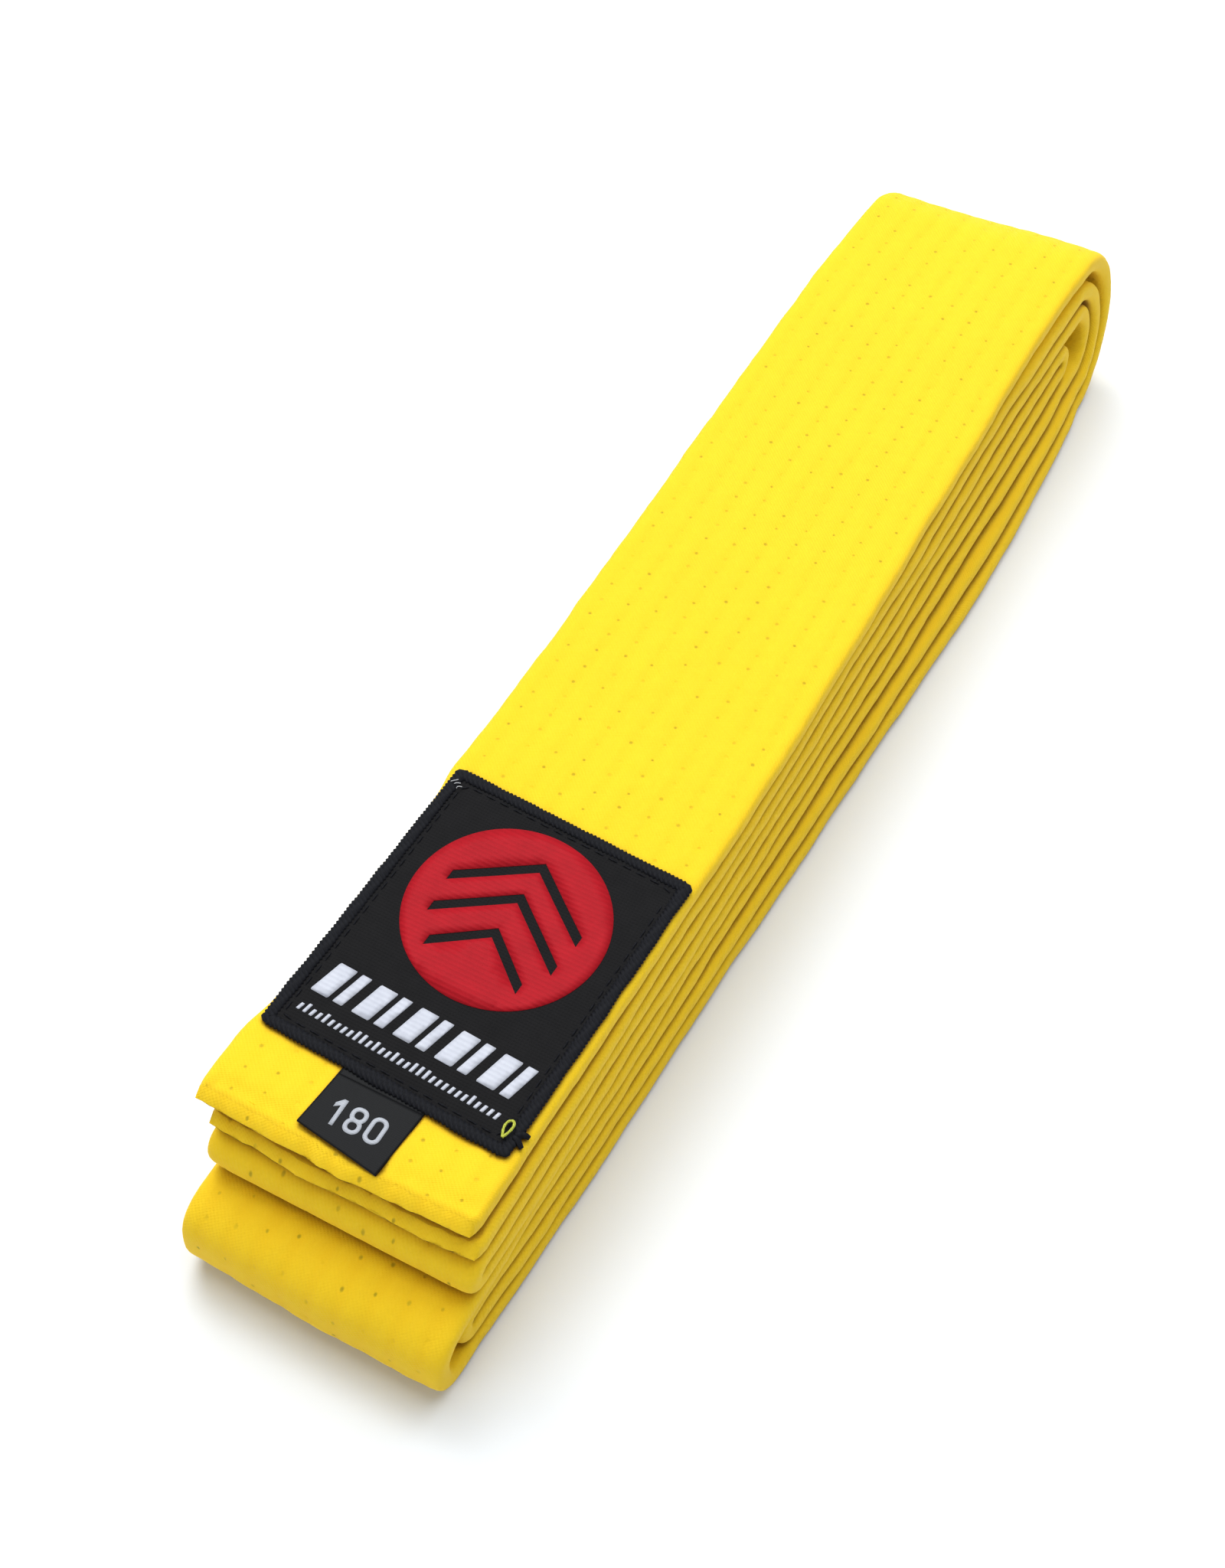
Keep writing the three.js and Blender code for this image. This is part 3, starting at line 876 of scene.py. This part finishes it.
def on_label(x, y):
    """From the label's own coordinates, about its middle, to X and Y in the frame."""
    across = LABEL_X + SHIFT_X + SCALE_X * x + LEAN * y
    return across, LABEL_Y + SHIFT_Y + SCALE_Y * y + SKEW * x


def label_height(x, y):
    """Height of the label's upper face at X and Y in the frame."""
    dx, dy = x - LABEL_X, y - LABEL_Y
    ripple = 0.05 * float(wander2(77, np.array(dx), np.array(dy), 22, 2))
    return belt_top(y) + CLOTH_RISE + ripple


def label_half(inset):
    """Half the label's width and length, less inset."""
    return (LX1 - LX0) / 2 - inset, (LY1 - LY0) / 2 - inset


def label_cloth():
    hx, hy = label_half(CLOTH_INSET)
    nx, ny = 60, 72
    verts, top = [], []
    for y in np.linspace(-hy, hy, ny):
        for x in np.linspace(-hx, hx, nx):
            wx, wy = on_label(x, y)
            top.append((wx, wy, label_height(wx, wy)))
    bottom = [(x, y, z - CLOTH_THICK) for x, y, z in top]
    verts = top + bottom
    off = nx * ny
    faces = grid_faces(ny, nx) + [tuple(q + off for q in f) for f in grid_faces(ny, nx, flip=True)]
    rim = list(range(nx)) + [i * nx + nx - 1 for i in range(1, ny)]
    rim += [(ny - 1) * nx + j for j in range(nx - 2, -1, -1)] + [i * nx for i in range(ny - 2, 0, -1)]
    for a, b in zip(rim, rim[1:] + rim[:1], strict=True):
        faces.append((b, a, a + off, b + off))
    obj = new_object("label_cloth", verts, faces)
    finish(obj, GROUND, "label_ground")
    return obj


def rounded_path(hx, hy, r, step):
    """A closed rounded rectangle as evenly stepped points, and how far along it each one is."""
    pts = []
    ax, ay = hx - r, hy - r
    for cx, cy, start in ((ax, ay, 0), (-ax, ay, 90), (-ax, -ay, 180), (ax, -ay, 270)):
        for a in np.radians(np.linspace(start, start + 90, 7)):
            pts.append((cx + r * math.cos(a), cy + r * math.sin(a)))
    pts = np.array(pts + pts[:1])
    d = np.r_[0, np.cumsum(np.linalg.norm(np.diff(pts, axis=0), axis=1))]
    t = np.arange(0, d[-1] - step / 2, step)
    return np.c_[np.interp(t, d, pts[:, 0]), np.interp(t, d, pts[:, 1])], t


def label_edge():
    """The overlocked edge: thick thread wound round and round it, each turn a slanting ridge."""
    path, t = rounded_path(*label_half(CLOTH_INSET), 0.12, 0.15)
    onward = np.roll(path, -1, 0) - np.roll(path, 1, 0)
    onward /= np.linalg.norm(onward, axis=1)[:, None]
    outward = np.c_[onward[:, 1], -onward[:, 0]]
    section = np.linspace(0, 2 * np.pi, 18, endpoint=False)
    verts = []
    uneven = wander(15, t, 12) * 0.10
    winding = 0.62  # from one turn of the thread to the next
    for i in range(len(path)):
        for a in section:
            wound = math.sin(2 * math.pi * t[i] / winding + 1.5 * math.cos(a))
            grow = 1 + 0.12 * wound + uneven[i]
            px = path[i] + outward[i] * math.cos(a) * 0.88 * grow
            wx, wy = on_label(px[0], px[1])
            z = belt_top(wy) + 0.40 + 0.37 * math.sin(a) * grow
            verts.append((wx, wy, z))
    n, m = len(path), len(section)
    faces = grid_faces(n, m, closed=True)
    faces += [((n - 1) * m + j, (n - 1) * m + (j + 1) % m, (j + 1) % m, j) for j in range(m)]
    obj = new_object("label_overlock", verts, faces)
    bm = bmesh.new()
    bm.from_mesh(obj.data)
    bmesh.ops.recalc_face_normals(bm, faces=bm.faces[:])
    bm.to_mesh(obj.data)
    bm.free()
    finish(obj, BINDING, "label_binding")
    return obj


def label_tail():
    """The end of the overlock thread, left standing out of the near right corner."""
    x0, y0 = on_label((LX1 - LX0) / 2 - CLOTH_INSET, -(LY1 - LY0) / 2 + 3.4)
    t = np.linspace(0, 1, 14)
    for i, (turn, length) in enumerate(((0.45, 1.9), (-0.15, 1.6))):
        x = x0 + length * t * math.cos(turn)
        y = y0 - 0.5 * i + length * t * math.sin(turn) + 0.25 * np.sin(3 * t + i)
        z = belt_top(y0) + 0.5 - 0.45 * t**2
        tail = tube(f"overlock_tail_{i + 1}", np.c_[x, y, z], 0.52 - 0.2 * t**2, 8)
        finish(tail, BINDING, None)


def label_seam():
    """The lockstitch inside the overlocked edge."""
    path, _ = rounded_path(*label_half(SEAM_INSET), 0.5, 0.1)
    stitch, spacing = 17, 22  # in steps of the path
    points = []
    for i in range(0, len(path) - stitch - 2, spacing):
        a, b = on_label(*path[i]), on_label(*path[i + stitch])
        points.append(((*a, label_height(*a) + 0.03), (*b, label_height(*b) + 0.03)))
    obj = stitches("label_stitches", points, 0.12)
    finish(obj, BINDING, "label_seam")
    return obj


def circle(cy, r, n):
    turn = np.linspace(0, 2 * np.pi, n, endpoint=False)
    return [(r * math.cos(a), cy + r * math.sin(a)) for a in turn]


def stepped(corners, cuts):
    """The closed outline through corners, with points at these shares of every side."""
    out = []
    for (x0, y0), (x1, y1) in zip(corners, corners[1:] + corners[:1], strict=True):
        out += [(x0 + (x1 - x0) * t, y0 + (y1 - y0) * t) for t in cuts]
    return out


def chevron(y, reach, rise):
    """An open chevron as a closed outline, its arms split into short steps."""
    stroke = 1.7
    lower = [(-reach, y), (0, y + rise), (reach, y)]
    upper = [(reach, y + stroke), (0, y + rise + stroke), (-reach, y + stroke)]
    return stepped(lower + upper, (0, 0.25, 0.5, 0.75))


def slanted(cx, cy, half_width, half_height, lean, cuts=(0.04, 0.5, 0.96)):
    """A block that leans to the right, with its corners cut off."""
    signs = ((-1, -1), (1, -1), (1, 1), (-1, 1))
    corners = [(cx + i * half_width + j * lean, cy + j * half_height) for i, j in signs]
    return stepped(corners, cuts)


def join(objects, name):
    select(objects)
    bpy.ops.object.join()
    objects[0].name = name
    return objects[0]


def patch(name, outline, holes=(), top=0.12):
    """A raised woven mark, its outlines in the label's own coordinates."""
    loops = [[on_label(x, y) for x, y in loop] for loop in (outline, *holes)]
    return outline_solid(name, loops[0], loops[1:], 0, top, label_height)


def label_marks():
    """The disc with its three chevrons, five pairs of slanted bars, and a line of small ticks."""
    mid_y = middle("label_motif", 1) - LABEL_Y
    disc = circle(mid_y, (high("label_motif", 0) - low("label_motif", 0)) / 2, 110)
    sizes = ((-9.4, 7.3, 5.7), (-4.6, 9.8, 7.3), (0.9, 10.3, 7.5))
    holes = [chevron(mid_y + y, reach, rise) for y, reach, rise in sizes]
    motif = patch("label_motif_red", disc, holes)
    finish(motif, RED, "label_motif")
    row_y = middle("label_block_3", 1) - LABEL_Y
    for i in range(1, 6):
        cx = middle(f"label_block_{i}", 0) - LABEL_X
        bars = [
            patch(f"bar_{i}{k}", slanted(cx + x, row_y, half, 2.7, 0.6))
            for k, x, half in ((1, -1.15, 1.35), (2, 1.75, 0.75))
        ]
        finish(join(bars, f"label_white_{i}"), WHITE, f"label_block_{i}")
    line_y = middle("label_line", 1) - LABEL_Y
    x0, x1 = low("label_line", 0) - LABEL_X, high("label_line", 0) - LABEL_X
    rng = np.random.default_rng(17)
    ticks, x = [], x0
    while x < x1 - 0.4:
        tall = 0.75 if rng.random() < 0.3 else 0.55
        tick = slanted(x + 0.25, line_y - 0.75 + tall, 0.24, tall, 0.12, (0.1, 0.9))
        ticks.append(patch(f"tick_{len(ticks)}", tick, top=0.11))
        x += 0.98
    finish(join(ticks, "label_ticks"), WHITE, "label_line")


cloth = label_cloth()
edge = label_edge()
seam = label_seam()
label_tail()
label_marks()


# ---- Loose thread and lint ----


def loose_thread():
    """A loop of thread that stands up from the label's near right corner."""
    cx, cy = middle("thread_loop", 0), middle("thread_loop", 1)
    cz = high("label_binding", 2)
    t = np.linspace(0, 2 * np.pi, 40)
    fall = np.sin(t / 2) ** 2
    r = 0.8
    x = cx + r * np.sin(t) * fall**0.6
    y = cy - 1.4 + 2.6 * fall
    z = cz + 0.12 + 0.35 * np.sin(t) * fall + 0.1 * fall
    loop = tube("loose_loop", np.c_[x, y, z], 0.19 + 0.02 * np.sin(t * 9), 8)
    finish(loop, LOOSE, "thread_loop")


loose_thread()


def lint():
    """Three pale fibres caught in the overlocking at the label's far left corner."""
    rng = np.random.default_rng(12)
    x0, y0 = on_label(-(LX1 - LX0) / 2 + 1.6, (LY1 - LY0) / 2 - 2.2)
    for i in range(3):
        t = np.linspace(0, 1, 9)
        angle = rng.uniform(-2.6, -1.2)
        length = rng.uniform(0.6, 1.1)
        x = x0 + i * 0.5 - 0.3 + length * t * math.cos(angle) + 0.15 * np.sin(t * 4 + i)
        y = y0 - i * 0.45 + length * t * math.sin(angle)
        z = belt_top(y0) + 0.86 + 0.2 * np.sin(np.pi * t)
        fibre = tube(f"lint_{i + 1}", np.c_[x, y, z], 0.07, 6)
        finish(fibre, LINT, None)


lint()

# ---- Size tag ----

TX0, TX1 = low("size_tag", 0), high("size_tag", 0)
TY0, TY1 = low("size_tag", 1), high("size_tag", 1)
TAG_X, TAG_Z = (TX0 + TX1) / 2, (low("size_tag", 2) + high("size_tag", 2)) / 2


def on_tag(x, y):
    """The tag is a little longer on its right, and leans to the left towards the belt's end."""
    return x + 0.085 * (y - TY1), TY1 + (y - TY1) * (0.977 + 0.015 * (x - TAG_X))


def tag_surface(x, y):
    """Height of the tag's upper face: it lies down and lifts a little at its free end."""
    t = (TY1 - y) / (TY1 - TY0)
    return TAG_Z + 0.05 + 0.26 * t**2 + 0.07 * math.sin(3.1 * (x - TAG_X) / 6.5 + 0.6) * t


def thicken(obj, thickness, offset):
    """Give a surface its thickness, in millimetres, with real faces."""
    solid = obj.modifiers.new("thick", "SOLIDIFY")
    solid.thickness = thickness * MM
    solid.offset = offset
    select([obj])
    bpy.ops.object.modifier_apply(modifier="thick")


def tag_ribbon():
    """A ribbon folded in two: over the top, round the free end and back underneath."""
    nx = 40
    fold = 0.17  # radius of its fold
    end = TY0 + 0.2
    line = [(y, 0.0) for y in np.linspace(TY1, end, 30)]
    for a in np.linspace(0.3, math.pi - 0.3, 7):
        line.append((end - fold * math.sin(a), -fold + fold * math.cos(a)))
    line += [(y, -2 * fold) for y in np.linspace(end, TY1, 30)]
    verts = []
    for y, drop in line:
        for x in np.linspace(TX0, TX1, nx):
            verts.append((*on_tag(x, y), tag_surface(x, y) + drop))
    ribbon = new_object("tag_ribbon", verts, grid_faces(len(line), nx))
    thicken(ribbon, 0.13, 0)
    finish(ribbon, SATIN, "size_tag", TAG)
    return ribbon


def box_loop(cy, w, h, r):
    """The outline of a rounded box, w wide and h high, its middle at cy above the digit's."""
    pts = []
    for sx, sy, start in ((1, 1, 0), (-1, 1, 90), (-1, -1, 180), (1, -1, 270)):
        x, y = sx * (w / 2 - r), cy + sy * (h / 2 - r)
        for a in np.radians(np.linspace(start, start + 90, 7)):
            pts.append((x + r * math.cos(a), y + r * math.sin(a)))
    return pts


def waisted(offset, w, h, r):
    """The outline of two rounded boxes, one at offset above the middle and one as far below it."""

    def half_width(y):
        """The wider of the two boxes at this height."""
        best = 0.2
        for side in (-1, 1):
            over = abs(y - side * offset) - (h / 2 - r)
            if over < r:
                best = max(best, w / 2 - r + math.sqrt(max(0.0, r * r - max(0.0, over) ** 2)))
        return best

    top = offset + h / 2
    ys = top * np.sin(np.linspace(-math.pi / 2, math.pi / 2, 33))
    right = [(half_width(y * 0.9995), y) for y in ys]
    return right + [(-x, y) for x, y in right[::-1]]


DIGITS_LEFT = 0.45  # the number stands this far left of the tag's middle


def digit_height(x, y):
    return tag_surface(x + DIGITS_LEFT, y) + 0.065


def tag_digits():
    """The number, in plain strokes s thick: digits w wide and h high."""
    w, h, s = 2.4, 4.1, 0.6
    stem, foot, head = 0.5, -h / 2, h / 2
    one = [(stem, foot), (stem, head), (stem - s, head), (-0.9, head - 0.9)]
    one += [(-0.9, head - 1.6), (stem - s, head - 1), (stem - s, foot)]
    small = (h - 3 * s) / 2  # height of a hole of the 8
    up = (small + s) / 2
    hole = w - 2 * s
    shapes = {
        "tag_digit_1": (one, []),
        "tag_digit_8": (
            waisted(up, w, small + 2 * s, 1.05),
            [box_loop(up, hole, small, 0.5), box_loop(-up, hole, small, 0.5)],
        ),
        "tag_digit_0": (box_loop(0, w, h, 1.1), [box_loop(0, hole, h - 2 * s, 0.55)]),
    }
    for node, (outline, holes) in shapes.items():
        cx, cy = middle(node, 0) + (0.2 if node == "tag_digit_1" else 0), middle(node, 1)
        loops = [[(cx + x - DIGITS_LEFT, cy + y) for x, y in loop] for loop in (outline, *holes)]
        obj = outline_solid(f"{node}_print", loops[0], loops[1:], 0.0, 0.03, digit_height)
        finish(obj, PRINT, node, TAG)


def tag_root():
    """The stretch of ribbon that comes out from under the label's edge."""
    nx, ny = 30, 12
    verts = []
    for y in np.linspace(TY1 + 0.02, LY0 + 1.2, ny):
        for x in np.linspace(TX0, TX1, nx):
            sunk = 0.1 * smooth((y - TY1) / 2)
            verts.append((*on_tag(x, y), tag_surface(x, TY1) - sunk))
    root = new_object("tag_root", verts, grid_faces(ny, nx))
    thicken(root, 0.3, -0.4)
    finish(root, SATIN, "size_tag_root")


ribbon = tag_ribbon()
tag_digits()
tag_root()


# ---- Floor, light and background ----


def make_floor():
    """A plain pale sheet of paper, 6 m wide."""
    size = 3.0
    corners = [(-size, -size, 0), (size, -size, 0), (size, size, 0), (-size, size, 0)]
    mesh = bpy.data.meshes.new("floor")
    mesh.from_pydata(corners, [], [(0, 1, 2, 3)])
    floor = bpy.data.objects.new("floor", mesh)
    bpy.context.scene.collection.objects.link(floor)
    n = Nodes("floor_paper", roughness=0.7, specular=0.1)
    cloud = n.noise(n.object_coordinates(), 2.0, 2.0)
    n.link(n.mix(cloud, (0.84, 0.86, 0.885, 1), (0.86, 0.88, 0.90, 1)), n.shader.inputs["Base Color"])
    floor.data.materials.append(n.material)


def area_light(name, place, size, power, colour=(1, 1, 1)):
    """A round soft light at place, in metres, that points at the middle of the belt."""
    data = bpy.data.lights.new(name, "AREA")
    data.shape = "DISK"
    data.size = size
    data.energy = power
    data.color = colour
    lamp = bpy.data.objects.new(name, data)
    lamp.location = place
    lamp.rotation_mode = "QUATERNION"
    lamp.rotation_quaternion = (-Vector(place)).to_track_quat("-Z", "Y")
    bpy.context.scene.collection.objects.link(lamp)


make_floor()
area_light("key", (-0.50, 0.40, 0.85), size=0.7, power=4.5)
area_light("overhead", (-0.1, 0.45, 1.35), size=1.9, power=25, colour=(0.96, 0.985, 1.0))
area_light("fill", (-0.25, -1.0, 0.7), size=0.9, power=2.6)

world = bpy.data.worlds.new("studio")
bpy.context.scene.world = world
world.use_nodes = True
sky = world.node_tree.nodes["Background"]
sky.inputs["Color"].default_value = (0.90, 0.955, 1.0, 1)
sky.inputs["Strength"].default_value = 0.3
bpy.context.scene.view_settings.view_transform = "Standard"
bpy.context.scene.view_settings.look = "None"
